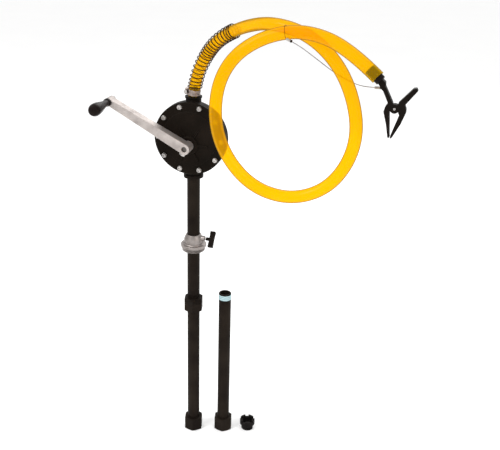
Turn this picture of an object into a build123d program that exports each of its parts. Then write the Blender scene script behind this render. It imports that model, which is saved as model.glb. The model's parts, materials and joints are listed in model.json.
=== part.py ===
"""Rotary hand transfer pump: vane pump, crank, three-piece suction tube, bung adapter and delivery hose.

Millimetres. +Z runs up the suction tube. The origin is on the tube's axis, at the shoulder of the
bung adapter that rests on the drum. The crank faces -Y, and +X is to the right of someone facing it.
"""
from build123d import *

import math
import os

os.makedirs("parts", exist_ok=True)

# ---------------------------------------------------------------- driving dimensions
running_gap = 0.05            # radial clearance of a running or sliding fit

# suction tube: three identical pieces, each with a hexagonal socket at its lower end
tube_radius = 16.7            # 1 inch pipe, 33.4 outside
tube_bore = 13.3
tube_length = 384
spare_length = 408            # the loose length is a little longer
socket_flats = 47             # across flats
socket_length = 38
socket_top_depth = 9          # how far a tube sits in its own socket
socket_bottom_depth = 27      # how far the next tube screws in from below
socket_turn = -78             # direction of one corner of the hexagon
corner_chamfer = 4
foot_z = -576
spare_x, spare_y = 82, 24
tape_drop = 3.5               # bare thread above the sealing tape
tape_width = 14

# pump housing
disc_radius = 93
disc_z = 304                  # centre of the flange and its bolt circle
barrel_radius = 69
barrel_x, barrel_z = -2, 299
shaft_z = 289
chamber_x = -8                # the chamber is off the shaft, so the vanes pump
chamber_radius = 52
back_face = 32
chamber_back = 24
drum_back = -6                # the full-width drum of the housing ends here
flange_face = -26.5
cover_back = -27.5
cover_face = -33.5
port_z = 195                  # lower end of the inlet neck
neck_radius = 19.5
neck_top = 400

# fasteners round the cover
bolt_circle = 82.8
bolt_count = 10
bolt_radius = 3
bolt_end = -12                # the bolts screw this far into the housing
washer_thickness = 1
bolt_head_height = 4.3
bolt_flats = 10
bolt_key_flats = 5            # hexagon socket in each head
bolt_key_depth = 2.4

# rotor and shaft
shaft_radius = 7
bush_radius = 10
rotor_radius = 43.4
rotor_front = -27.2
rotor_back = 23.7
vane_thickness = 6
slot_floor = 17
vane_tip = 43.6
vane_angles = [45, 135, 225, 315]

# crank
hub_radius = 13.5
arm_hub_half = 13             # half of the arm's width at its hub
arm_end_half = 8.8            # and at the grip
hub_back = -43
arm_back = -50
arm_front = -76
grip_x, grip_z = -198, 392
set_screw_y = -62
spindle_radius = 5
grip_end = -168

# bung adapter
thread_radius = 30.15         # 2 inch pipe thread, 60.3 over the crests
thread_length = 11
adapter_bore = tube_radius + 0.08
screw_z = 24
wing_turn = 40                # rest angle of the thumbscrew's bar

# hose
hose_radius = 14.5
hose_bore = 12
guard_radius = 18.6
guard_bore = 15.2
cable_radius = 0.9
tie_wire = 1.2                # thickness of the wire round the hose


# ---------------------------------------------------------------- helpers
def facing(y, x=0, z=0):
    """A plane square to Y at depth y, seen from the front: +X right, +Z up, normal towards -Y."""
    return Plane(origin=(x, y, z), x_dir=(1, 0, 0), z_dir=(0, -1, 0))


def save(builder, label):
    """Label a finished piece and write it."""
    builder.part.label = label
    export_step(builder.part, f"parts/{label}.step")


def route(points):
    """A path of straight runs joined by the largest tangent arcs that the runs allow."""
    corners = [Vector(*p) for p in points]
    runs = [b - a for a, b in zip(corners, corners[1:])]
    radii = []
    for before, after in zip(runs, runs[1:]):
        half_turn = math.radians(before.get_angle(after)) / 2
        radii.append(0.45 * min(before.length, after.length) / math.tan(half_turn))
    with BuildLine(mode=Mode.PRIVATE) as line:
        FilletPolyline(*corners, radius=radii)
    return line.wire(), runs[0], radii


def ring(y_back, y_front, outer, inner, x=0, z=0):
    """A plain ring along Y."""
    with BuildPart() as piece:
        with BuildSketch(facing(y_back, x, z)):
            Circle(outer)
            Circle(inner, mode=Mode.SUBTRACT)
        extrude(amount=y_back - y_front)
    return piece


def on_bolt_circle():
    """The ten bolt places, in a sketch on a facing() plane."""
    return PolarLocations(bolt_circle, bolt_count, start_angle=90 + 180 / bolt_count)


# ---------------------------------------------------------------- suction tube
def suction_tube(bottom, length, x=0, y=0):
    """One length of tube, chamfered at its threaded top."""
    with BuildPart() as piece:
        with BuildSketch(Plane.XY.offset(bottom)):
            with Locations((x, y)):
                Circle(tube_radius)
                Circle(tube_bore, mode=Mode.SUBTRACT)
        extrude(amount=length)
        top_face = piece.faces().sort_by(Axis.Z)[-1]
        chamfer(top_face.edges().sort_by(SortBy.LENGTH)[-1], 1)
    return piece


def tube_socket(bottom, x=0, y=0):
    """The hexagonal socket at a tube's lower end, with chamfered corners."""
    corner_radius = socket_flats / math.sqrt(3)
    with BuildPart() as piece:
        with BuildSketch(Plane.XY.offset(bottom)):
            with Locations((x, y)):
                RegularPolygon(corner_radius, 6, rotation=socket_turn)
        extrude(amount=socket_length)
        with BuildSketch(facing(y, x, bottom)):
            with BuildLine():
                Polyline(
                    (0, 0),
                    (corner_radius - corner_chamfer, 0),
                    (corner_radius, corner_chamfer / 2),
                    (corner_radius, socket_length - corner_chamfer / 2),
                    (corner_radius - corner_chamfer, socket_length),
                    (0, socket_length),
                    close=True,
                )
            make_face()
        revolve(axis=Axis((x, y, 0), (0, 0, 1)), mode=Mode.INTERSECT)
        with BuildSketch(Plane.XY.offset(bottom)):
            with Locations((x, y)):
                Circle(tube_radius + running_gap)
        extrude(amount=socket_bottom_depth, mode=Mode.SUBTRACT)
        with BuildSketch(Plane.XY.offset(bottom)):
            with Locations((x, y)):
                Circle(tube_bore)
        extrude(amount=socket_length, mode=Mode.SUBTRACT)
        with BuildSketch(Plane.XY.offset(bottom + socket_length)):
            with Locations((x, y)):
                Circle(tube_radius + running_gap)
        extrude(amount=-socket_top_depth, mode=Mode.SUBTRACT)
    return piece


tube_seat = socket_length - socket_top_depth
middle_z = foot_z + tube_seat + tube_length - socket_bottom_depth
tube_top = middle_z + tube_seat + tube_length
spare_top = foot_z + tube_seat + spare_length

save(tube_socket(foot_z), "foot_socket")
save(suction_tube(foot_z + tube_seat, tube_length), "lower_tube")
save(tube_socket(middle_z), "middle_socket")
save(suction_tube(middle_z + tube_seat, tube_length), "upper_tube")
save(tube_socket(foot_z, spare_x, spare_y), "spare_socket")
save(suction_tube(foot_z + tube_seat, spare_length, spare_x, spare_y), "spare_tube")

# sealing tape wound on the spare tube's thread
with BuildPart() as thread_tape:
    with BuildSketch(Plane.XY.offset(spare_top - tape_drop)):
        with Locations((spare_x, spare_y)):
            Circle(tube_radius + 0.5)
            Circle(tube_radius, mode=Mode.SUBTRACT)
    extrude(amount=-tape_width)
save(thread_tape, "thread_tape")

# loose castellated foot fitting, standing on its spigot
fitting_x, fitting_y = 150, 42
spigot_radius = 16.6
spigot_length = 11
head_radius = 21.3
fitting_height = 29.5
notch_count = 5
notch_turn = 108              # direction of the first notch
notch_width = 9
notch_depth = 5
with BuildPart() as foot_fitting:
    with BuildSketch(Plane.XZ.offset(-fitting_y)):
        with BuildLine():
            Polyline(
                (fitting_x + 13, foot_z),
                (fitting_x + spigot_radius, foot_z),
                (fitting_x + spigot_radius, foot_z + spigot_length),
                (fitting_x + head_radius, foot_z + spigot_length + 4),
                (fitting_x + head_radius, foot_z + fitting_height),
                (fitting_x + 15, foot_z + fitting_height),
                (fitting_x + 15, foot_z + spigot_length + 4),
                (fitting_x + 13, foot_z + spigot_length + 4),
                close=True,
            )
        make_face()
    revolve(axis=Axis((fitting_x, fitting_y, 0), (0, 0, 1)))
    with BuildSketch(Plane.XY.offset(foot_z + fitting_height)):
        with Locations((fitting_x, fitting_y)):
            with PolarLocations(head_radius, notch_count, start_angle=notch_turn):
                Rectangle(16, notch_width)
    extrude(amount=-notch_depth, mode=Mode.SUBTRACT)
save(foot_fitting, "foot_fitting")

# ---------------------------------------------------------------- bung adapter
boss_end = 31
flange_thickness = 8
body_radius = 25
adapter_top = 35
seal_z = 10
with BuildPart() as bung_adapter:
    with BuildSketch(Plane.XZ):
        with BuildLine():
            Polyline(
                (adapter_bore, -thread_length),
                (thread_radius - 1.5, -thread_length),
                (thread_radius, -thread_length + 1.5),
                (thread_radius, 0),
                (33.5, 0),
                (33.5, flange_thickness - 1),
                (32.5, flange_thickness),
                (body_radius + 2, flange_thickness),
                (body_radius, flange_thickness + 2),
                (body_radius, 22),
                (19.8, adapter_top - 1),
                (18.8, adapter_top),
                (adapter_bore, adapter_top),
                close=True,
            )
        make_face()
    revolve(axis=Axis.Z)
    with BuildSketch(Plane(origin=(18, 0, screw_z), x_dir=(0, 1, 0), z_dir=(1, 0, 0))):
        Circle(7.5)
    extrude(amount=boss_end - 18)
    with BuildSketch(Plane.XY.offset(seal_z)):
        Circle(tube_radius + 2.6)
    extrude(amount=4, mode=Mode.SUBTRACT)
    with BuildSketch(Plane.XY.offset(-thread_length)):
        Circle(adapter_bore)
    extrude(amount=thread_length + adapter_top, mode=Mode.SUBTRACT)
    with BuildSketch(Plane(origin=(10, 0, screw_z), x_dir=(0, 1, 0), z_dir=(1, 0, 0))):
        Circle(3 + running_gap)
    extrude(amount=25, mode=Mode.SUBTRACT)
save(bung_adapter, "bung_adapter")

# O-ring in the adapter's groove, wiping the tube
with BuildPart() as adapter_seal:
    with BuildSketch(Plane.XY.offset(seal_z + 0.1)):
        Circle(tube_radius + 2.5)
        Circle(adapter_bore, mode=Mode.SUBTRACT)
    extrude(amount=3.8)
save(adapter_seal, "adapter_seal")

# thumbscrew that grips the tube: its tip stands just off the tube
wing_x = 43.5
wing_depth = 13.5
wing_collar = 8               # the wing's round collar stands back this far towards the boss
wing_collar_radius = 4.6
pocket_reach = 13.5           # from the screw out to the middle of a pocket
pocket_side = 5.6
pocket_length = 8
pocket_width = 9
pocket_depth = 2
screw_plane = Plane(origin=(tube_radius + 0.35, 0, screw_z), x_dir=(0, 1, 0), z_dir=(1, 0, 0))
with BuildPart() as thumbscrew:
    with BuildSketch(screw_plane):
        Circle(3)
    extrude(amount=wing_x + 6 - screw_plane.origin.X)
save(thumbscrew, "thumbscrew")

wing_lean = math.radians(wing_turn)
wing_along = Vector(0, math.sin(wing_lean), math.cos(wing_lean))
wing_plane = Plane(origin=(wing_x, 0, screw_z), x_dir=wing_along, z_dir=(1, 0, 0))
with BuildPart() as thumb_wing:
    with BuildSketch(wing_plane):
        with BuildLine():
            Polyline(
                (0, -3.6), (-7, -3.9), (-20, -6.4), (-21.8, -4.6), (-21.8, 4.6), (-20, 6.4), (-7, 3.9),
                (0, 3.6), (7, 3.9), (20, 6.4), (21.8, 4.6), (21.8, -4.6), (20, -6.4), (7, -3.9), close=True,
            )
        make_face()
    extrude(amount=wing_depth)
    fillet(thumb_wing.edges(), 1.2)
    for end in (-1, 1):
        for face in (-1, 1):
            lobe = wing_plane.from_local_coords((end * pocket_reach, face * pocket_side, wing_depth / 2))
            with BuildSketch(Plane(origin=lobe, x_dir=(1, 0, 0), z_dir=wing_plane.y_dir * face)):
                Rectangle(pocket_length, pocket_width)
            extrude(amount=-pocket_depth, mode=Mode.SUBTRACT)
    with BuildSketch(wing_plane.offset(-wing_collar)):
        Circle(wing_collar_radius)
    extrude(amount=wing_collar + 2)
    with BuildSketch(wing_plane.offset(-wing_collar)):
        Circle(3)
    extrude(amount=wing_collar + 6, mode=Mode.SUBTRACT)
save(thumb_wing, "thumb_wing")

# ---------------------------------------------------------------- pump housing
collar_height = 8
collar_radius = 25.5
inlet_neck_radius = 22
rear_boss_radius = 17
rear_rib_length = 46
rear_rib_width = 5
inlet_radius = 12
outlet_radius = 11
tail_thread_radius = 13
tail_seat = 384
with BuildPart() as housing_body:
    with BuildSketch(facing(back_face, barrel_x, barrel_z)):
        Circle(barrel_radius)
    extrude(amount=back_face - flange_face)
    fillet(housing_body.faces().sort_by(Axis.Y)[-1].edges(), 6)
    with BuildSketch(facing(drum_back, 0, disc_z)):
        Circle(disc_radius)
    extrude(amount=drum_back - flange_face)
    chamfer(housing_body.edges().filter_by(GeomType.CIRCLE).sort_by(SortBy.RADIUS)[-2:], 1.2)
    with BuildSketch(facing(back_face + 10, 0, shaft_z)):
        Circle(rear_boss_radius)
    extrude(amount=12)
    with BuildSketch(facing(back_face + 3, 0, shaft_z)):
        for angle in range(0, 360, 60):
            with Locations(Rotation(0, 0, angle + 30)):
                with Locations((32, 0)):
                    Rectangle(rear_rib_length, rear_rib_width)
    extrude(amount=5)
    with BuildSketch(Plane.XY.offset(port_z)):
        Circle(collar_radius)
    extrude(amount=collar_height)
    with BuildSketch(Plane.XY.offset(port_z)):
        Circle(inlet_neck_radius)
    extrude(amount=barrel_z - barrel_radius + 12 - port_z)
    with BuildSketch(Plane.XY.offset(barrel_z + barrel_radius - 12)):
        Circle(neck_radius)
    extrude(amount=neck_top - barrel_z - barrel_radius + 12)
    with BuildSketch(facing(chamber_back, chamber_x, shaft_z)):
        Circle(chamber_radius)
    extrude(amount=chamber_back - flange_face, mode=Mode.SUBTRACT)
    with BuildSketch(facing(chamber_back + 14, 0, shaft_z)):
        Circle(bush_radius)
    extrude(amount=15, mode=Mode.SUBTRACT)
    with BuildSketch(Plane.XY.offset(port_z)):
        Circle(tube_radius + running_gap)
    extrude(amount=tube_top + 0.3 - port_z, mode=Mode.SUBTRACT)
    with BuildSketch(Plane.XY.offset(port_z)):
        Circle(inlet_radius)
    extrude(amount=shaft_z - chamber_radius + 12 - port_z, mode=Mode.SUBTRACT)
    with BuildSketch(Plane.XY.offset(shaft_z + chamber_radius - 12)):
        Circle(outlet_radius)
    extrude(amount=neck_top - shaft_z - chamber_radius + 12, mode=Mode.SUBTRACT)
    with BuildSketch(Plane.XY.offset(tail_seat)):
        Circle(tail_thread_radius)
    extrude(amount=neck_top - tail_seat, mode=Mode.SUBTRACT)
    with BuildSketch(facing(bolt_end + 1, 0, disc_z)):
        with on_bolt_circle():
            Circle(bolt_radius + 0.02)
    extrude(amount=bolt_end + 1 - flange_face, mode=Mode.SUBTRACT)
save(housing_body, "housing_body")

with BuildPart() as cover_gasket:
    with BuildSketch(facing(flange_face, 0, disc_z)):
        Circle(disc_radius - 1)
        with Locations((chamber_x, shaft_z - disc_z)):
            Circle(chamber_radius + 1.5, mode=Mode.SUBTRACT)
        with on_bolt_circle():
            Circle(bolt_radius + 0.4, mode=Mode.SUBTRACT)
    extrude(amount=flange_face - cover_back)
save(cover_gasket, "cover_gasket")

# cover: flat rim, raised middle, six ribs running out from the bearing boss
plateau_radius = 70
plateau_face = cover_face - 2
rib_face = cover_face - 4.5
boss_radius = 23
boss_face = -41
seal_back = -35.5
with BuildPart() as front_cover:
    with BuildSketch(facing(cover_back, 0, disc_z)):
        Circle(disc_radius)
    extrude(amount=cover_back - cover_face)
    chamfer(front_cover.faces().sort_by(Axis.Y)[0].edges(), 1.5)
    with BuildSketch(facing(cover_face, 0, disc_z)):
        Circle(plateau_radius)
    extrude(amount=cover_face - plateau_face)
    chamfer(front_cover.faces().sort_by(Axis.Y)[0].edges(), 1.2)
    with BuildSketch(facing(cover_face, 0, shaft_z)):
        for angle in range(0, 360, 60):
            with Locations(Rotation(0, 0, angle)):
                with Locations((boss_radius + 11, 0)):
                    Rectangle(28, 4)
    extrude(amount=cover_face - rib_face)
    with BuildSketch(facing(cover_face, 0, shaft_z)):
        Circle(boss_radius)
    extrude(amount=cover_face - boss_face)
    fillet(front_cover.faces().sort_by(Axis.Y)[0].edges(), 2.5)
    with BuildSketch(facing(cover_back, 0, shaft_z)):
        Circle(bush_radius)
    extrude(amount=cover_back - seal_back, mode=Mode.SUBTRACT)
    with BuildSketch(facing(seal_back, 0, shaft_z)):
        Circle(bush_radius + 1)
    extrude(amount=seal_back - boss_face, mode=Mode.SUBTRACT)
    with BuildSketch(facing(cover_back, 0, disc_z)):
        with on_bolt_circle():
            Circle(bolt_radius + 0.3)
    extrude(amount=cover_back - cover_face, mode=Mode.SUBTRACT)
save(front_cover, "front_cover")

# ten hexagon bolts that screw into the housing, with washers under their heads
head_back = cover_face - washer_thickness
with BuildPart() as cover_bolts:
    with BuildSketch(facing(head_back, 0, disc_z)):
        with on_bolt_circle():
            RegularPolygon(bolt_flats / math.sqrt(3), 6)
    extrude(amount=bolt_head_height)
    chamfer(cover_bolts.faces().group_by(Axis.Y)[0].edges(), 0.6)
    with BuildSketch(facing(head_back - bolt_head_height, 0, disc_z)):
        with on_bolt_circle():
            RegularPolygon(bolt_key_flats / math.sqrt(3), 6)
    extrude(amount=-bolt_key_depth, mode=Mode.SUBTRACT)
    with BuildSketch(facing(head_back, 0, disc_z)):
        with on_bolt_circle():
            Circle(bolt_radius)
    extrude(amount=head_back - bolt_end)
save(cover_bolts, "cover_bolts")

with BuildPart() as cover_washers:
    with BuildSketch(facing(cover_face, 0, disc_z)):
        with on_bolt_circle():
            Circle(6.2)
            Circle(bolt_radius + 0.2, mode=Mode.SUBTRACT)
    extrude(amount=washer_thickness)
save(cover_washers, "cover_washers")

bush_outer = bush_radius - 0.02
bush_inner = shaft_radius + running_gap
rear_bush = ring(chamber_back + 14, chamber_back + 0.2, bush_outer, bush_inner, 0, shaft_z)
save(rear_bush, "rear_bush")
front_bush = ring(cover_back - 0.2, seal_back, bush_outer, bush_inner, 0, shaft_z)
save(front_bush, "front_bush")
shaft_seal = ring(seal_back - 0.1, boss_face, bush_radius + 0.98, shaft_radius + 0.03, 0, shaft_z)
save(shaft_seal, "shaft_seal")

# ---------------------------------------------------------------- rotor, shaft and vanes
shaft_recess = 4              # the shaft's end stands back in the crank's hub
key_width = 4
key_length = 30
spring_floor = 9.5
rotor_length = rotor_back - rotor_front
rotor_middle = (rotor_back + rotor_front) / 2
with BuildPart() as rotor:
    with BuildSketch(facing(rotor_back, 0, shaft_z)):
        Circle(rotor_radius)
        Circle(shaft_radius + 0.03, mode=Mode.SUBTRACT)
        for angle in vane_angles:
            with Locations(Rotation(0, 0, angle)):
                with Locations((slot_floor + rotor_radius / 2, 0)):
                    Rectangle(rotor_radius, vane_thickness + 2 * running_gap, mode=Mode.SUBTRACT)
        with Locations((0, shaft_radius)):
            Rectangle(key_width + 0.1, 5, mode=Mode.SUBTRACT)
    extrude(amount=rotor_length)
    for angle in vane_angles:
        radial = Vector(math.cos(math.radians(angle)), 0, math.sin(math.radians(angle)))
        floor_point = Vector(0, rotor_middle, shaft_z) + radial * spring_floor
        with BuildSketch(Plane(origin=floor_point, x_dir=(0, 1, 0), z_dir=radial)):
            Circle(2.6)
        extrude(amount=slot_floor - spring_floor + 1, mode=Mode.SUBTRACT)
save(rotor, "rotor")

with BuildPart() as rotor_shaft:
    with BuildSketch(facing(chamber_back + 13, 0, shaft_z)):
        Circle(shaft_radius)
    extrude(amount=chamber_back + 13 - arm_front - shaft_recess)
    chamfer(rotor_shaft.edges().filter_by(GeomType.CIRCLE), 0.8)
    with BuildSketch(facing(rotor_middle + key_length / 2, 0, shaft_z)):
        with Locations((0, shaft_radius)):
            Rectangle(key_width + 0.04, 4)
    extrude(amount=key_length, mode=Mode.SUBTRACT)
save(rotor_shaft, "rotor_shaft")

with BuildPart() as rotor_key:
    with BuildSketch(facing(rotor_middle + key_length / 2 - 0.2, 0, shaft_z)):
        with Locations((0, shaft_radius + 0.15)):
            Rectangle(key_width, 3.9)
    extrude(amount=key_length - 0.4)
save(rotor_key, "rotor_key")

for number, angle in enumerate(vane_angles, start=1):
    inner_end = slot_floor + 0.3
    with BuildPart() as vane:
        with BuildSketch(facing(rotor_back - 0.1, 0, shaft_z)):
            with Locations(Rotation(0, 0, angle)):
                with Locations(((inner_end + vane_tip) / 2, 0)):
                    Rectangle(vane_tip - inner_end, vane_thickness)
        extrude(amount=rotor_length - 0.2)
    save(vane, f"vane_{number}")

with BuildPart() as vane_springs:
    for angle in vane_angles:
        radial = Vector(math.cos(math.radians(angle)), 0, math.sin(math.radians(angle)))
        spring_end = Vector(0, rotor_middle, shaft_z) + radial * (spring_floor + 0.1)
        with BuildSketch(Plane(origin=spring_end, x_dir=(0, 1, 0), z_dir=radial)):
            Circle(2.4)
            Circle(1.6, mode=Mode.SUBTRACT)
        extrude(amount=slot_floor - spring_floor)
save(vane_springs, "vane_springs")

# ---------------------------------------------------------------- crank
arm_run = Vector(grip_x, 0, grip_z - shaft_z)
arm_direction = arm_run.normalized()
arm_side = Vector(0, 1, 0).cross(arm_direction)
arm_bevel = 1.6
end_boss_radius = 10
with BuildPart() as crank_arm:
    with BuildSketch(facing(arm_back)):
        with Locations((0, shaft_z)):
            Circle(arm_hub_half)
        with Locations((grip_x, grip_z)):
            Circle(arm_end_half)
        make_hull()
    extrude(amount=arm_back - arm_front)
    chamfer(crank_arm.faces().filter_by(Axis.Y).edges(), arm_bevel)
    with BuildSketch(facing(hub_back, 0, shaft_z)):
        Circle(hub_radius)
    extrude(amount=hub_back - arm_front)
    with BuildSketch(facing(arm_back, grip_x, grip_z)):
        Circle(end_boss_radius)
    extrude(amount=arm_back - arm_front)
    with BuildSketch(facing(hub_back, 0, shaft_z)):
        Circle(shaft_radius + 0.03)
    extrude(amount=hub_back - arm_front, mode=Mode.SUBTRACT)
    with BuildSketch(facing(arm_back, grip_x, grip_z)):
        Circle(spindle_radius + 0.03)
    extrude(amount=arm_back - arm_front, mode=Mode.SUBTRACT)
    screw_outward = arm_side if arm_side.Z < 0 else arm_side * -1
    screw_plane = Plane(origin=(0, set_screw_y, shaft_z), x_dir=(0, 1, 0), z_dir=screw_outward)
    with BuildSketch(screw_plane):
        Circle(4.05)
    extrude(amount=hub_radius + 2, mode=Mode.SUBTRACT)
save(crank_arm, "crank_arm")

head_gap = hub_radius + 0.8
with BuildPart() as crank_set_screw:
    with BuildSketch(screw_plane.offset(shaft_radius + 0.1)):
        Circle(4)
    extrude(amount=head_gap - shaft_radius)
    with BuildSketch(screw_plane.offset(head_gap)):
        RegularPolygon(8.4, 6)
    extrude(amount=6)
save(crank_set_screw, "crank_set_screw")

nut_face = arm_back + 7
with BuildPart() as handle_spindle:
    with BuildSketch(facing(nut_face + 2, grip_x, grip_z)):
        Circle(spindle_radius)
    extrude(amount=nut_face + 2 - grip_end - 16)
    chamfer(handle_spindle.edges().filter_by(GeomType.CIRCLE), 0.8)
save(handle_spindle, "handle_spindle")

with BuildPart() as spindle_nut:
    with BuildSketch(facing(nut_face, grip_x, grip_z)):
        RegularPolygon(9.2, 6)
        Circle(spindle_radius + 0.03, mode=Mode.SUBTRACT)
    extrude(amount=nut_face - arm_back)
save(spindle_nut, "spindle_nut")

# grip: short collar at the arm, slim waist, then a swelling palm end
grip_start = arm_front - 0.6
grip_length = grip_start - grip_end
grip_base = Vector(grip_x, grip_start, grip_z)
grip_bore = spindle_radius + running_gap + 0.01
cap_radius = 26
cap_angle = math.asin(11 / cap_radius)
cap_centre = Vector(0, grip_length - cap_radius)
cap_edge = cap_centre + cap_radius * Vector(math.sin(cap_angle), math.cos(cap_angle))
cap_middle = cap_centre + cap_radius * Vector(math.sin(cap_angle / 2), math.cos(cap_angle / 2))
with BuildPart() as handle_grip:
    with BuildSketch(Plane(origin=grip_base, x_dir=(1, 0, 0), z_dir=(0, 0, -1))):
        with BuildLine():
            Polyline((grip_bore, grip_length - 15), (grip_bore, 0), (10.2, 0), (10.2, 6), (8.6, 10))
            Spline((8.6, 10), (10.4, 34), (14.2, 56), (15.6, 73))
            ThreePointArc((15.6, 73), (14.6, 82), cap_edge)
            ThreePointArc(cap_edge, cap_middle, (0, grip_length))
            Polyline((0, grip_length), (0, grip_length - 15), (grip_bore, grip_length - 15))
        make_face()
    revolve(axis=Axis(grip_base, (0, 1, 0)))
save(handle_grip, "handle_grip")

# ---------------------------------------------------------------- delivery hose and what holds it
hose_points = [
    (0, 0, 406.5), (6, -1, 448), (28, -6, 500), (66, -22, 551), (138, -64, 593), (226, -130, 618),
    (318, -152, 596), (391, -161, 526), (429, -169, 422), (419, -177, 338), (372, -184, 268),
    (295, -190, 237), (213, -197, 255), (151, -201, 313), (117, -203, 393), (120, -203, 486),
    (157, -198, 556), (226, -190, 600), (308, -188, 615), (400, -204, 588), (467, -221, 534),
]
hose_path, hose_start, hose_radii = route(hose_points)
print("hose radii", [round(r) for r in hose_radii])
leg = hose_start.normalized()
hose_origin = Vector(*hose_points[0])

with BuildPart() as hose:
    with BuildSketch(Plane(origin=hose_origin, z_dir=leg)):
        Circle(hose_radius)
        Circle(hose_bore, mode=Mode.SUBTRACT)
    sweep(path=hose_path)
save(hose, "hose")
hose_section = math.pi * (hose_radius ** 2 - hose_bore ** 2)
print("hose length", round(hose_path.length, 1))
print("hose volume / section", round(hose.part.volume / hose_section, 1))

tail_collar_radius = 21.5
tail_collar_top = 5.5
with BuildPart() as hose_tail:
    with BuildSketch(Plane.XZ):
        with BuildLine():
            Polyline(
                (9, tail_seat + 0.2),
                (tail_thread_radius - 0.02, tail_seat + 0.2),
                (tail_thread_radius - 0.02, neck_top),
                (neck_radius, neck_top),
                (tail_collar_radius, neck_top + 2),
                (tail_collar_radius, neck_top + tail_collar_top),
                (hose_bore - 0.3, neck_top + tail_collar_top),
                (hose_bore - 0.3, neck_top + 24),
                (hose_bore - 1.5, neck_top + 26),
                (9, neck_top + 26),
                close=True,
            )
        make_face()
    revolve(axis=Axis.Z)
save(hose_tail, "hose_tail")

# worm-drive clamp: band round the hose, screw housing on its left
clamp_start = 2.4
clamp_width = 14
tier_width = 5                # a raised tier at each edge of the band
tier_height = 1.1
band_radius = hose_radius + 1.0
clamp_plane = Plane(origin=hose_origin + leg * clamp_start, x_dir=(0, -1, 0), z_dir=leg)
worm_plane = clamp_plane.offset(clamp_width / 2)
with BuildPart() as hose_clamp:
    with BuildSketch(clamp_plane):
        Circle(band_radius)
        Circle(hose_radius + 0.05, mode=Mode.SUBTRACT)
    extrude(amount=clamp_width)
    for tier in (0, clamp_width - tier_width):
        with BuildSketch(clamp_plane.offset(tier)):
            Circle(band_radius + tier_height)
            Circle(band_radius - 0.2, mode=Mode.SUBTRACT)
        extrude(amount=tier_width)
    with BuildSketch(worm_plane.offset(-clamp_width / 2 - 0.5)):
        with Locations((0, -band_radius - 2.6)):
            Rectangle(17, 6.4)
    extrude(amount=clamp_width + 1)
    worm_axis = Plane(origin=worm_plane.from_local_coords((-20, -band_radius - 2.8, 0)),
                      x_dir=leg, z_dir=worm_plane.x_dir)
    with BuildSketch(worm_axis):
        Circle(2.3)
    extrude(amount=40, mode=Mode.SUBTRACT)
save(hose_clamp, "hose_clamp")

with BuildPart() as clamp_screw:
    with BuildSketch(worm_axis.offset(11.5)):
        Circle(2.25)
    extrude(amount=17.3)
    with BuildSketch(worm_axis.offset(28.7)):
        RegularPolygon(4.6, 6)
    extrude(amount=5)
save(clamp_screw, "clamp_screw")

# spring bend guard, as the tube that the wire's turns fill
guard_first = hose_origin + leg * (clamp_start + clamp_width + 1)
guard_share = 0.7             # the guard ends this far along the run to the next corner
guard_run = Vector(*hose_points[4]) - Vector(*hose_points[3])
guard_last = Vector(*hose_points[3]) + guard_run * guard_share
guard_points = [tuple(guard_first)] + hose_points[1:4] + [tuple(guard_last)]
with BuildLine() as guard_line:
    FilletPolyline(*guard_points, radius=hose_radii[:3])
with BuildPart() as spring_guard:
    with BuildSketch(Plane(origin=guard_first, z_dir=leg)):
        Circle(guard_radius)
        Circle(guard_bore, mode=Mode.SUBTRACT)
    sweep(path=guard_line.wire())
save(spring_guard, "spring_guard")

# plug in the hose's free end: barrel in the bore, head outside
hose_end = Vector(*hose_points[-1])
end_direction = (hose_end - Vector(*hose_points[-2])).normalized()
plug_head_radius = 11.2
plug_head_length = 9
with BuildPart() as hose_plug:
    with BuildSketch(Plane(origin=hose_end - end_direction * 24, z_dir=end_direction)):
        Circle(hose_bore - 0.1)
    extrude(amount=24.4)
    with BuildSketch(Plane(origin=hose_end + end_direction * 0.3, z_dir=end_direction)):
        Circle(plug_head_radius)
    extrude(amount=plug_head_length)
    chamfer(hose_plug.faces().sort_by(Axis(hose_end, end_direction))[-1].edges(), 1.2)
save(hose_plug, "hose_plug")

# ---------------------------------------------------------------- spring clip on the plug
pivot_x, pivot_z = 506, 474
clip_y = -223
clip_half = 7                 # half of the clip's thickness
outer_ear = 4                 # the fixed half's ears lie outside this
inner_ear = 3.7               # the moving half's ears lie inside this
coil_half = 1.9
ear_radius = 9.6
pin_radius = 2.4


def clip_layer(half_thickness):
    """The plane at the back of a slice of the clip of this half thickness."""
    return facing(clip_y + half_thickness)


with BuildPart() as clip_fixed_jaw:
    with BuildSketch(clip_layer(clip_half)):
        with BuildLine():
            Polyline(
                (469, 524.5), (475.2, 534.4), (484, 527), (484.5, 519), (501, 487), (503, 480), (498.5, 474),
                (496.5, 466), (500.3, 418), (501, 412.5), (497, 413), (492, 440), (484.5, 467),
                (487, 477), (492, 485), (480.5, 509), (475.5, 514), close=True,
            )
        make_face()
    extrude(amount=2 * clip_half)
    fillet(clip_fixed_jaw.edges().filter_by(Axis.Y).filter_by(lambda e: e.center().Z < 420), 0.8)
    with BuildSketch(clip_layer(clip_half)):
        with Locations((pivot_x, pivot_z)):
            Circle(ear_radius)
    extrude(amount=2 * clip_half)
    with BuildSketch(clip_layer(outer_ear)):
        with Locations((pivot_x, pivot_z)):
            Circle(ear_radius + 0.6)
    extrude(amount=2 * outer_ear, mode=Mode.SUBTRACT)
    with BuildSketch(clip_layer(clip_half)):
        with Locations((pivot_x, pivot_z)):
            Circle(pin_radius)
    extrude(amount=2 * clip_half, mode=Mode.SUBTRACT)
save(clip_fixed_jaw, "clip_fixed_jaw")

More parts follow.
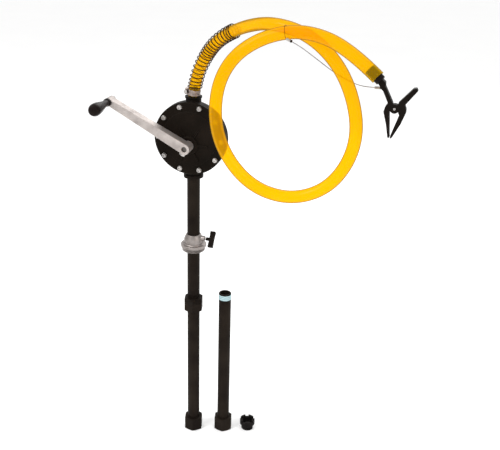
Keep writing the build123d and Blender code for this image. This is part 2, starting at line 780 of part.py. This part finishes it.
with BuildPart() as clip_moving_jaw:
    with BuildSketch(clip_layer(clip_half)):
        with BuildLine():
            Polyline(
                (513, 487), (540, 518), (546, 519), (549, 514), (526, 483), (529.5, 474), (529.5, 467),
                (521.5, 444), (507, 415), (504, 411), (502, 413.5), (503, 419), (516.5, 462), (512, 470),
                (511, 478), close=True,
            )
        make_face()
    extrude(amount=2 * clip_half)
    for layer in (clip_layer(clip_half + 1), clip_layer(-outer_ear + 0.3)):
        with BuildSketch(layer):
            with Locations((pivot_x, pivot_z)):
                Circle(ear_radius + 0.6)
        extrude(amount=clip_half + 1 - outer_ear + 0.3, mode=Mode.SUBTRACT)
    with BuildSketch(clip_layer(inner_ear)):
        with Locations((pivot_x, pivot_z)):
            Circle(ear_radius)
    extrude(amount=2 * inner_ear)
    with BuildSketch(clip_layer(coil_half + 0.1)):
        with Locations((pivot_x, pivot_z)):
            Circle(5)
    extrude(amount=2 * (coil_half + 0.1), mode=Mode.SUBTRACT)
    with BuildSketch(clip_layer(clip_half)):
        with Locations((pivot_x, pivot_z)):
            Circle(pin_radius + running_gap)
    extrude(amount=2 * clip_half, mode=Mode.SUBTRACT)
save(clip_moving_jaw, "clip_moving_jaw")

pin_end = clip_half + 0.6
clip_pin = ring(clip_y + pin_end, clip_y - pin_end, pin_radius - 0.02, 0.6, pivot_x, pivot_z)
save(clip_pin, "clip_pin")
clip_spring = ring(clip_y + coil_half, clip_y - coil_half, 4.4, pin_radius + 0.3, pivot_x, pivot_z)
save(clip_spring, "clip_spring")

# ---------------------------------------------------------------- tie and tether cable
tie_from_end = 223            # the loop is this far back from the hose's end
tie_radius = hose_radius + 2.8
tie_share = 1 - tie_from_end / hose_path.length
tie_plane = Plane(origin=hose_path @ tie_share, z_dir=hose_path % tie_share)
with BuildPart() as tie_loop:
    with BuildSketch(tie_plane.offset(-tie_wire / 2)):
        Circle(tie_radius)
        Circle(tie_radius - tie_wire, mode=Mode.SUBTRACT)
    extrude(amount=tie_wire)
save(tie_loop, "tie_loop")

cable_points = [
    (270, -204, 598), (295, -205, 588), (330, -178, 556), (364, -152, 524),
    (391, -138, 506), (418, -150, 499), (446, -188, 505), (479, -219, 513),
]
cable_path, cable_start, cable_radii = route(cable_points)
print("cable radii", [round(r) for r in cable_radii], "length", round(cable_path.length))
cable_origin = Vector(*cable_points[0])
with BuildPart() as tether_cable:
    with BuildSketch(Plane(origin=cable_origin, z_dir=cable_start.normalized())):
        Circle(cable_radius)
    sweep(path=cable_path)
save(tether_cable, "tether_cable")

ferrule_radius = 3
ferrule_length = 9
end_ferrule_length = 17
cable_last = Vector(*cable_points[-1]) - Vector(*cable_points[-2])
ferrule_places = [
    (cable_origin + cable_start.normalized() * 1.5, cable_start, ferrule_length),
    (Vector(*cable_points[-2]) + cable_last * 0.48, cable_last, end_ferrule_length),
]
with BuildPart() as tether_ferrules:
    for place, direction, length in ferrule_places:
        with BuildSketch(Plane(origin=place, z_dir=direction)):
            Circle(ferrule_radius)
            Circle(cable_radius + 0.05, mode=Mode.SUBTRACT)
        extrude(amount=length)
save(tether_ferrules, "tether_ferrules")

bead_place = cable_origin + cable_start.normalized() * (ferrule_length + 1.7)
with BuildPart() as tether_bead:
    with BuildSketch(Plane(origin=bead_place, z_dir=cable_start)):
        Circle(3)
        Circle(cable_radius + 0.05, mode=Mode.SUBTRACT)
    extrude(amount=4)
    chamfer(tether_bead.edges().filter_by(GeomType.CIRCLE).sort_by(SortBy.RADIUS)[-2:], 1)
save(tether_bead, "tether_bead")
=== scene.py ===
"""Looks of the rotary hand transfer pump, in metres, round its CAD frame."""
import json
import math

import bpy
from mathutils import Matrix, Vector


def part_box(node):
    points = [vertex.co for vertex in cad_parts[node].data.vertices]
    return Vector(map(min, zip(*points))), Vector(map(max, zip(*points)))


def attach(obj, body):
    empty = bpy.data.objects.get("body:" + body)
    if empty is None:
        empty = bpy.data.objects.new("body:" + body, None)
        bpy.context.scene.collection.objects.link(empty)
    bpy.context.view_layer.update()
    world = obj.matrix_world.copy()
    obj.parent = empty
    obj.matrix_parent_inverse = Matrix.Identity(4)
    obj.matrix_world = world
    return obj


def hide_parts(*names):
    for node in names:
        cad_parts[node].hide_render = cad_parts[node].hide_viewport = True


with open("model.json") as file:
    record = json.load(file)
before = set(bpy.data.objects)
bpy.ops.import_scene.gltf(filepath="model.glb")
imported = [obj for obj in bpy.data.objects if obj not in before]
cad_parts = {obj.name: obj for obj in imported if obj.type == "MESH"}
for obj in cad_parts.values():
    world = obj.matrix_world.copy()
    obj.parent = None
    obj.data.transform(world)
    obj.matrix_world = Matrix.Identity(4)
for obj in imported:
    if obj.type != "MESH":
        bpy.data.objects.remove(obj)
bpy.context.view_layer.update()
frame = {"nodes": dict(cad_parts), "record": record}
nodes = frame["nodes"]

# ---------------------------------------------------------------- cord routes, as in the CAD
MM = 0.001
HOSE_ROUTE = [
    (0, 0, 406.5), (6, -1, 448), (28, -6, 500), (66, -22, 551), (138, -64, 593), (226, -130, 618),
    (318, -152, 596), (391, -161, 526), (429, -169, 422), (419, -177, 338), (372, -184, 268),
    (295, -190, 237), (213, -197, 255), (151, -201, 313), (117, -203, 393), (120, -203, 486),
    (157, -198, 556), (226, -190, 600), (308, -188, 615), (400, -204, 588), (467, -221, 534),
]
TETHER_ROUTE = [
    (270, -204, 598), (295, -205, 588), (330, -178, 556), (364, -152, 524),
    (391, -138, 506), (418, -150, 499), (446, -188, 505), (479, -219, 513),
]
HOSE_DIAMETER = 0.029
TETHER_DIAMETER = 0.0018
TIE_WIRE = 0.0010
TIE_FROM_END = 0.223            # along the hose, back from its free end
TIE_GAP = 0.0017                # from the hose's surface to the middle of the wire
TIE_STEPS = 48
GUARD_WIRE = 0.0025
GUARD_START = 0.0195            # along the hose, above the clamp
GUARD_SHARE = 0.7               # where the guard ends on the run between two route points
GUARD_TURNS = 21
GUARD_GAP = 0.0027
GUARD_CLOSING = 0.02            # how much the turns close up at both ends
THREAD_PITCH = 0.0022

# ---------------------------------------------------------------- camera and studio settings
CAMERA_PLACE = (0.6509, -1.9621, 0.9325)
CAMERA_TILT = 67.093            # degrees up from straight down
CAMERA_TURN = 18.352            # degrees about the vertical
CAMERA_LENS = 61.48
CAMERA_SHIFT = 0.1128
STUDIO_MIDDLE = (0.15, -0.05, 0.1)
STUDIO_LAMPS = [                # name, place, size and power
    ("key_light", (-1.7, -2.0, 2.7), 1.4, 80),
    ("fill_light", (2.6, -1.6, 1.4), 2.2, 26),
    ("back_light", (0.4, 2.6, 2.2), 2.4, 40),
]
FLOOR_HALF = 20


# ---------------------------------------------------------------- camera, light and floor
def make_camera():
    data = bpy.data.cameras.new("camera")
    data.sensor_width = 36
    data.lens = CAMERA_LENS
    data.shift_x = CAMERA_SHIFT
    camera = bpy.data.objects.new("camera", data)
    camera.location = CAMERA_PLACE
    camera.rotation_euler = (math.radians(CAMERA_TILT), 0, math.radians(CAMERA_TURN))
    bpy.context.scene.collection.objects.link(camera)
    bpy.context.scene.camera = camera


def area_light(name, place, target, size, power):
    """A square soft light at place, facing target."""
    data = bpy.data.lights.new(name, "AREA")
    data.size = size
    data.energy = power
    lamp = bpy.data.objects.new(name, data)
    lamp.location = place
    lamp.rotation_euler = (Vector(target) - Vector(place)).to_track_quat("-Z", "Y").to_euler()
    bpy.context.scene.collection.objects.link(lamp)


def make_studio():
    for name, place, size, power in STUDIO_LAMPS:
        area_light(name, place, STUDIO_MIDDLE, size, power)
    world = bpy.data.worlds.new("studio")
    world.use_nodes = True
    background = world.node_tree.nodes["Background"]
    background.inputs["Color"].default_value = (1.0, 1.0, 1.0, 1)
    background.inputs["Strength"].default_value = 1.0
    bpy.context.scene.world = world
    bpy.context.scene.view_settings.view_transform = "Standard"


def make_floor():
    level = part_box("foot_socket")[0].z
    mesh = bpy.data.meshes.new("floor")
    corners = [(x * FLOOR_HALF, y * FLOOR_HALF, level) for x, y in ((-1, -1), (1, -1), (1, 1), (-1, 1))]
    mesh.from_pydata(corners, [], [(0, 1, 2, 3)])
    floor = bpy.data.objects.new("floor", mesh)
    bpy.context.scene.collection.objects.link(floor)
    tree = Tree("floor_paper")
    shade = tree.mix_colours(tree.noise(3), (0.94, 0.94, 0.94), (0.97, 0.97, 0.965))
    tree.set("Base Color", shade)
    tree.set("Roughness", 0.9)
    mesh.materials.append(tree.material)


# ---------------------------------------------------------------- material nodes
class Tree:
    """A node material round one Principled shader, with the few patterns that the looks share."""

    def __init__(self, name):
        self.material = bpy.data.materials.new(name)
        self.material.use_nodes = True
        self.nodes = self.material.node_tree.nodes
        self.links = self.material.node_tree.links
        self.shader = self.nodes["Principled BSDF"]
        self.output = self.nodes["Material Output"]

    def add(self, kind, **settings):
        node = self.nodes.new("ShaderNode" + kind)
        for key, value in settings.items():
            setattr(node, key, value)
        return node

    def feed(self, socket, value):
        """Links value to socket if it is an output, or else stores it there."""
        if isinstance(value, bpy.types.NodeSocket):
            self.links.new(value, socket)
        elif isinstance(value, tuple) and len(value) == 3 and socket.type == "RGBA":
            socket.default_value = (*value, 1)
        else:
            socket.default_value = value

    def set(self, name, value):
        self.feed(self.shader.inputs[name], value)

    def place(self, stretch=(1, 1, 1)):
        """The place on the piece, in metres, stretched along its axes."""
        mapping = self.add("Mapping")
        mapping.inputs["Scale"].default_value = stretch
        self.links.new(self.add("TexCoord").outputs["Object"], mapping.inputs["Vector"])
        return mapping.outputs["Vector"]

    def noise(self, scale, detail=4, stretch=(1, 1, 1)):
        node = self.add("TexNoise")
        node.inputs["Scale"].default_value = scale
        node.inputs["Detail"].default_value = detail
        self.links.new(self.place(stretch), node.inputs["Vector"])
        return node.outputs["Fac"]

    def spread(self, value, low, high, start=0.3, end=0.7):
        """value from start to end becomes low to high."""
        node = self.add("MapRange")
        node.inputs["From Min"].default_value = start
        node.inputs["From Max"].default_value = end
        node.inputs["To Min"].default_value = low
        node.inputs["To Max"].default_value = high
        self.links.new(value, node.inputs["Value"])
        return node.outputs["Result"]

    def maths(self, operation, first, second=0.0):
        node = self.add("Math", operation=operation)
        self.feed(node.inputs[0], first)
        self.feed(node.inputs[1], second)
        return node.outputs["Value"]

    def mix_colours(self, factor, first, second):
        node = self.add("Mix", data_type="RGBA")
        self.feed(node.inputs["Factor"], factor)
        self.feed(node.inputs[6], first)
        self.feed(node.inputs[7], second)
        return node.outputs[2]

    def bump(self, height, depth, below=None):
        """A bump of this depth in metres, on the normal below it."""
        node = self.add("Bump")
        node.inputs["Strength"].default_value = 1
        node.inputs["Distance"].default_value = depth
        self.links.new(height, node.inputs["Height"])
        if below is not None:
            self.links.new(below, node.inputs["Normal"])
        return node.outputs["Normal"]

    def soft_edges(self, radius):
        """The normal of a surface whose edges are rounded to radius."""
        node = self.add("Bevel", samples=4)
        node.inputs["Radius"].default_value = radius
        return node.outputs["Normal"]

    def edge_wear_and_highlight(self, rounded, strength):
        """1 on edges, which carry wear and a painted highlight, and 0 on flat faces, broken up by a fine
        noise.
        """
        turn = self.add("VectorMath", operation="DOT_PRODUCT")
        self.links.new(rounded, turn.inputs[0])
        self.links.new(self.add("NewGeometry").outputs["Normal"], turn.inputs[1])
        sharp = self.spread(turn.outputs["Value"], strength, 0, 0.75, 0.995)
        return self.maths("MULTIPLY", sharp, self.spread(self.noise(220), 0, 1, 0.35, 0.6))

    def thread(self, pitch, centre, low, high):
        """A helical ridge of this pitch about a vertical axis at centre, between two heights."""
        offset = self.add("VectorMath", operation="SUBTRACT")
        self.links.new(self.place(), offset.inputs[0])
        offset.inputs[1].default_value = (*centre, 0)
        parts = self.add("SeparateXYZ")
        self.links.new(offset.outputs["Vector"], parts.inputs["Vector"])
        angle = self.maths("ARCTAN2", parts.outputs["Y"], parts.outputs["X"])
        climb = self.maths("MULTIPLY", parts.outputs["Z"], 2 * math.pi / pitch)
        ridge = self.maths("SINE", self.maths("SUBTRACT", climb, angle))
        above = self.maths("GREATER_THAN", parts.outputs["Z"], low)
        under = self.maths("LESS_THAN", parts.outputs["Z"], high)
        return self.maths("MULTIPLY", ridge, self.maths("MULTIPLY", above, under))


PLASTIC_EDGE = 0.0008           # the radius that moulded edges are rounded to
METAL_EDGE = 0.0006
PLASTIC_THREAD = 0.0006         # how far a thread's ridge stands out
METAL_THREAD = 0.0012
PLASTIC_IOR = 1.49
WARM_GLOSS = (1.0, 0.82, 0.66)
AMBER = ((0.86, 0.47, 0.0), (0.94, 0.54, 0.001))
AMBER_GLOW = (0.96, 0.60, 0.0)
AMBER_THROUGH = (0.98, 0.71, 0.02)
# Painted shade: the darker wall, translucent and outline colours of the hose's rims as seen.
RIM_SHADE_WALL = (0.24, 0.13, 0.0)
RIM_SHADE_GLOW = (0.22, 0.13, 0.0)
OUTLINE_SHADE = (0.30, 0.17, 0.002)
GLOW_SHARE = 0.42


def moulded_plastic(name, dark, light, roughness, grain, wear_and_highlight_tone, gloss=0.04, thread=None):
    """Black moulded plastic: a fine grain, slow tone changes and lighter edges, partly scuffs and partly a
    painted highlight.
    """
    tree = Tree(name)
    rounded = tree.soft_edges(PLASTIC_EDGE)
    wear_and_highlight = tree.edge_wear_and_highlight(rounded, 0.45)
    tone = tree.mix_colours(tree.spread(tree.noise(18), 0, 1), dark, light)
    dust = tree.mix_colours(tree.spread(tree.noise(420, 8), 0, 0.08, 0.55, 0.8), tone, wear_and_highlight_tone)
    # Lighter edges: partly scuffs, partly a painted highlight.
    tree.set("Base Color", tree.mix_colours(wear_and_highlight, dust, wear_and_highlight_tone))
    tree.set("Roughness", tree.spread(tree.noise(90), roughness - 0.06, roughness + 0.10))
    normal = tree.bump(tree.noise(1500, 3), grain, rounded)
    if thread:
        normal = tree.bump(tree.thread(*thread), PLASTIC_THREAD, normal)
    tree.set("Normal", normal)
    tree.set("IOR", PLASTIC_IOR)
    tree.set("Specular IOR Level", gloss)
    tree.set("Specular Tint", WARM_GLOSS)
    return tree.material


def bare_metal(name, dark, light, roughness, pits, metallic=1.0, stretch=(1, 1, 1), thread=None,
               gloss=0.5):
    """Metal with slow tone changes, fine marks along stretch and brighter edges, partly wear and partly a
    painted highlight.
    """
    tree = Tree(name)
    rounded = tree.soft_edges(METAL_EDGE)
    wear_and_highlight = tree.edge_wear_and_highlight(rounded, 0.6)
    tone = tree.mix_colours(tree.spread(tree.noise(35), 0, 1), dark, light)
    # Edges brighter than the light tone: partly wear, partly a painted highlight.
    tree.set("Base Color", tree.mix_colours(wear_and_highlight, tone, tuple(min(1, c * 1.35) for c in light)))
    tree.set("Metallic", metallic)
    tree.set("Specular IOR Level", gloss)
    tree.set("Roughness", tree.spread(tree.noise(260, 6, stretch), roughness - 0.07, roughness + 0.12))
    normal = tree.bump(tree.noise(900, 4, stretch), pits, rounded)
    if thread:
        normal = tree.bump(tree.thread(*thread), METAL_THREAD, normal)
    tree.set("Normal", normal)
    return tree.material


def clear_hose(name):
    """Amber flexible PVC: partly see-through and glossy outside, with painted shade towards its edges as
    seen: a darker colour and a dark matt outline.
    """
    tree = Tree(name)
    tone = tree.mix_colours(tree.spread(tree.noise(14), 0, 1), *AMBER)
    rim = tree.add("LayerWeight")
    rim.inputs["Blend"].default_value = 0.35
    # Painted shade: 0 face-on, rising to 0.9 towards the hose's rims as seen.
    painted_rim_shade = tree.spread(rim.outputs["Facing"], 0.0, 0.90, 0.30, 0.62)
    tree.set("Base Color", tree.mix_colours(painted_rim_shade, tone, RIM_SHADE_WALL))
    tree.set("Roughness", tree.spread(tree.noise(70), 0.16, 0.30))
    tree.set("Specular IOR Level", 0.25)
    tree.set("Normal", tree.bump(tree.noise(160, 2), 0.00012))
    glow = tree.add("BsdfTranslucent")
    # Painted shade darkens the translucent colour towards the rims.
    tree.feed(glow.inputs["Color"], tree.mix_colours(painted_rim_shade, AMBER_GLOW, RIM_SHADE_GLOW))
    through = tree.add("BsdfTransparent")
    tree.feed(through.inputs["Color"], AMBER_THROUGH)
    body = tree.add("MixShader")
    body.inputs["Fac"].default_value = GLOW_SHARE
    tree.links.new(tree.shader.outputs["BSDF"], body.inputs[1])
    tree.links.new(glow.outputs["BSDF"], body.inputs[2])
    clear = tree.spread(rim.outputs["Facing"], 0.70, 0.06, 0.1, 0.9)
    wall = tree.add("MixShader")
    tree.links.new(clear, wall.inputs["Fac"])
    tree.links.new(body.outputs["Shader"], wall.inputs[1])
    tree.links.new(through.outputs["BSDF"], wall.inputs[2])
    # Painted shade: a dark matt outline mixed in along the hose's rims as seen.
    painted_outline = tree.add("BsdfDiffuse")
    tree.feed(painted_outline.inputs["Color"], OUTLINE_SHADE)
    with_painted_outline = tree.add("MixShader")
    tree.links.new(tree.spread(rim.outputs["Facing"], 0.0, 0.75, 0.36, 0.60), with_painted_outline.inputs["Fac"])
    tree.links.new(wall.outputs["Shader"], with_painted_outline.inputs[1])
    tree.links.new(painted_outline.outputs["BSDF"], with_painted_outline.inputs[2])
    tree.links.new(with_painted_outline.outputs["Shader"], tree.output.inputs["Surface"])
    return tree.material


def sealing_tape(name):
    """Thin pale tape wound in overlapping turns, with creases."""
    tree = Tree(name)
    turns = tree.add("TexWave", wave_type="BANDS", bands_direction="Z")
    turns.inputs["Scale"].default_value = 60
    turns.inputs["Distortion"].default_value = 3
    tree.links.new(tree.place(), turns.inputs["Vector"])
    tree.set("Base Color", tree.mix_colours(turns.outputs["Fac"], (0.16, 0.30, 0.33), (0.46, 0.60, 0.62)))
    tree.set("Roughness", tree.spread(tree.noise(300), 0.35, 0.6))
    creased = tree.bump(turns.outputs["Fac"], 0.0003)
    tree.set("Normal", tree.bump(tree.noise(500, 6), 0.0003, creased))
    return tree.material


def rubber(name):
    """Matt black rubber with a chalky bloom."""
    tree = Tree(name)
    bloom = tree.spread(tree.noise(140, 6), 0, 1, 0.4, 0.75)
    tree.set("Base Color", tree.mix_colours(bloom, (0.018, 0.018, 0.018), (0.05, 0.05, 0.052)))
    tree.set("Roughness", tree.spread(tree.noise(200), 0.65, 0.85))
    tree.set("Normal", tree.bump(tree.noise(1200), 0.0001))
    return tree.material


def middle_of(node):
    """The middle of a CAD node's box, seen from above."""
    low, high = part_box(node)
    return ((low.x + high.x) / 2, (low.y + high.y) / 2)


def make_materials():
    """One material for each slot of the record, and the few nodes that differ from their slot."""
    spare_low, spare_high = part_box("spare_tube")
    fitting_low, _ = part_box("foot_fitting")
    spare_thread = (THREAD_PITCH, middle_of("spare_tube"), spare_high.z - 0.028, spare_high.z - 0.001)
    spigot_thread = (THREAD_PITCH, middle_of("foot_fitting"), fitting_low.z + 0.001, fitting_low.z + 0.010)
    bung_thread = (THREAD_PITCH, (0, 0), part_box("bung_adapter")[0].z, -0.0005)
    # Pale tone for the black plastics' dust and their lighter edges, which are partly scuffs and partly a
    # painted highlight.
    grey_wear_and_highlight = (0.07, 0.062, 0.055)
    slots = {
        "black_plastic": moulded_plastic(
            "black_plastic", (0.0035, 0.003, 0.0026), (0.009, 0.007, 0.006), 0.42, 0.00008, grey_wear_and_highlight),
        "cover_plastic": moulded_plastic(
            "cover_plastic", (0.0035, 0.003, 0.0024), (0.009, 0.0065, 0.005), 0.40, 0.00006, grey_wear_and_highlight),
        "grip_plastic": moulded_plastic(
            "grip_plastic", (0.004, 0.003, 0.003), (0.010, 0.007, 0.007), 0.24, 0.00002, (0.05, 0.045, 0.045),
            gloss=0.07),
        "tube_plastic": moulded_plastic(
            "tube_plastic", (0.007, 0.005, 0.0042), (0.016, 0.012, 0.009), 0.44, 0.00005, grey_wear_and_highlight,
            thread=spare_thread),
        "cast_zinc": bare_metal(
            "cast_zinc", (0.17, 0.15, 0.14), (0.34, 0.305, 0.29), 0.40, 0.00016, 0.9, thread=bung_thread),
        "cast_arm": bare_metal("cast_arm", (0.33, 0.295, 0.28), (0.51, 0.465, 0.44), 0.50, 0.00016, 0.85),
        "zinc_steel": bare_metal("zinc_steel", (0.26, 0.25, 0.24), (0.56, 0.53, 0.51), 0.24, 0.00006),
        "spring_steel": bare_metal(
            "spring_steel", (0.012, 0.006, 0.002), (0.055, 0.028, 0.010), 0.50, 0.00002, 0.08, gloss=0.03),
        "shaft_steel": bare_metal(
            "shaft_steel", (0.06, 0.055, 0.05), (0.13, 0.12, 0.11), 0.38, 0.00003, stretch=(1, 12, 1)),
        "bronze": bare_metal("bronze", (0.44, 0.28, 0.10), (0.60, 0.42, 0.18), 0.42, 0.00004),
        "seal_rubber": rubber("seal_rubber"),
        "rotor_plastic": moulded_plastic(
            "rotor_plastic", (0.07, 0.07, 0.07), (0.12, 0.12, 0.12), 0.45, 0.00005, (0.2, 0.2, 0.2)),
        "vane_carbon": moulded_plastic(
            "vane_carbon", (0.03, 0.03, 0.032), (0.05, 0.05, 0.055), 0.4, 0.00003, (0.12, 0.12, 0.12)),
        "hose_pvc": clear_hose("hose_pvc"),
        "tape_ptfe": sealing_tape("tape_ptfe"),
        "cable_steel": bare_metal(
            "cable_steel", (0.14, 0.14, 0.16), (0.30, 0.30, 0.33), 0.34, 0.00006, stretch=(6, 1, 1)),
    }
    threaded_plastic = moulded_plastic(
        "threaded_plastic", (0.003, 0.003, 0.003), (0.009, 0.008, 0.008), 0.40, 0.00006, grey_wear_and_highlight,
        thread=spigot_thread)
    by_node = {entry["node"]: slots[entry["material_slot"]] for entry in frame["record"]["subparts"]}
    by_node["foot_fitting"] = threaded_plastic
    by_node["hose_plug"] = slots["grip_plastic"]
    by_node["hose_clamp"] = bare_metal(
        "clamp_steel", (0.15, 0.115, 0.10), (0.42, 0.35, 0.32), 0.30, 0.00006, stretch=(1, 1, 6))
    for node, material in by_node.items():
        nodes[node].data.materials.clear()
        nodes[node].data.materials.append(material)
    return slots


# ---------------------------------------------------------------- cords and wire
def cord_curve(name, route, diameter, material):
    """A smooth NURBS cord whose control points are the route's."""
    curve = bpy.data.curves.new(name, "CURVE")
    curve.dimensions = "3D"
    spline = curve.splines.new("NURBS")
    spline.points.add(len(route) - 1)
    for point, place in zip(spline.points, route):
        point.co = (*(Vector(place) * MM), 1)
    spline.order_u = 3
    spline.use_endpoint_u = True
    spline.resolution_u = 16
    curve.bevel_depth = diameter / 2
    curve.bevel_resolution = 10
    curve.materials.append(material)
    piece = bpy.data.objects.new(name, curve)
    bpy.context.scene.collection.objects.link(piece)
    return piece


def centreline(piece):
    """The points that a cord's own spline passes through."""
    bare = piece.copy()
    bare.data = piece.data.copy()
    bare.data.bevel_depth = 0
    bare.modifiers.clear()
    mesh = bpy.data.meshes.new_from_object(bare)
    points = [vertex.co.copy() for vertex in mesh.vertices]
    bpy.data.meshes.remove(mesh)
    bpy.data.objects.remove(bare)
    return points


def frames_along(points):
    """For each point, how far along it lies, its place and two directions square to the line."""
    side = Vector((0, 1, 0))
    distance = 0
    found = []
    for index, point in enumerate(points):
        before = points[max(index - 1, 0)]
        after = points[min(index + 1, len(points) - 1)]
        direction = (after - before).normalized()
        side = (side - direction * side.dot(direction)).normalized()
        found.append((distance, point, side, direction.cross(side)))
        if index + 1 < len(points):
            distance += (after - point).length
    return found


def point_on(frames, distance):
    """The place and the two side directions at this distance along a line."""
    for first, second in zip(frames, frames[1:]):
        if distance <= second[0]:
            break
    share = (distance - first[0]) / (second[0] - first[0])
    return [a.lerp(b, share) for a, b in zip(first[1:], second[1:])]


def wire(name, points, diameter, material, closed=False):
    """Round wire through a list of points."""
    curve = bpy.data.curves.new(name, "CURVE")
    curve.dimensions = "3D"
    spline = curve.splines.new("POLY")
    spline.points.add(len(points) - 1)
    for point, place in zip(spline.points, points):
        point.co = (*place, 1)
    spline.use_cyclic_u = closed
    spline.use_smooth = True
    curve.bevel_depth = diameter / 2
    curve.bevel_resolution = 4
    curve.use_fill_caps = True
    curve.materials.append(material)
    piece = bpy.data.objects.new(name, curve)
    bpy.context.scene.collection.objects.link(piece)
    return piece


def coil_points(frames, start, end, turns, radius, steps=28):
    """Points of a coil round a line; the turns close up at both ends."""
    count = int(turns * steps)
    points = []
    for index in range(count + 1):
        share = index / count
        even = share - math.sin(4 * math.pi * share) * GUARD_CLOSING
        place, side, up = point_on(frames, start + (end - start) * min(max(even, 0), 1))
        angle = 2 * math.pi * turns * share
        points.append(place + (side * math.cos(angle) + up * math.sin(angle)) * radius)
    return points


def make_hose(slots):
    """The hose, with its wire bend guard."""
    hose = cord_curve("delivery_hose", HOSE_ROUTE, HOSE_DIAMETER, slots["hose_pvc"])
    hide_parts("hose")
    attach(hose, "pump")

    line = frames_along(centreline(hose))
    guard_top = Vector(HOSE_ROUTE[3]).lerp(Vector(HOSE_ROUTE[4]), GUARD_SHARE) * MM
    end = min(line, key=lambda item: (item[1] - guard_top).length)[0]
    radius = HOSE_DIAMETER / 2 + GUARD_GAP
    points = coil_points(line, GUARD_START, end, GUARD_TURNS, radius)
    guard = wire("bend_guard_wire", points, GUARD_WIRE, slots["spring_steel"])
    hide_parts("spring_guard")
    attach(guard, "pump")
    return hose, guard


def make_tie(slots, hose):
    """The wire loop round the hose that the tether hangs from."""
    line = frames_along(centreline(hose))
    middle, side, up = point_on(line, line[-1][0] - TIE_FROM_END)
    radius = HOSE_DIAMETER / 2 + TIE_GAP
    points = []
    for step in range(TIE_STEPS):
        angle = 2 * math.pi * step / TIE_STEPS
        points.append(middle + (side * math.cos(angle) + up * math.sin(angle)) * radius)
    loop = wire("tie_wire", points, TIE_WIRE, slots["spring_steel"], closed=True)
    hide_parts("tie_loop")
    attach(loop, "pump")
    return loop


def make_tether(slots):
    cable = cord_curve("tether_line", TETHER_ROUTE, TETHER_DIAMETER, slots["cable_steel"])
    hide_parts("tether_cable")
    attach(cable, "pump")
    return cable


def make_clip_spring(slots):
    """The clip's torsion spring, coiled on its pin."""
    low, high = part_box("clip_spring")
    middle = (low + high) / 2
    wire_diameter = 0.0009
    radius = (high.x - low.x) / 2 - wire_diameter / 2
    turns = 4
    steps = 24
    points = []
    for index in range(turns * steps + 1):
        share = index / (turns * steps)
        angle = 2 * math.pi * turns * share
        y = low.y + wire_diameter / 2 + (high.y - low.y - wire_diameter) * share
        points.append((middle.x + radius * math.cos(angle), y, middle.z + radius * math.sin(angle)))
    spring = wire("clip_torsion_spring", points, wire_diameter, slots["spring_steel"])
    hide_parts("clip_spring")
    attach(spring, "pump")
    return spring


make_camera()
make_studio()
make_floor()
slots = make_materials()
hose, guard = make_hose(slots)
tie = make_tie(slots, hose)
tether = make_tether(slots)
clip_spring = make_clip_spring(slots)
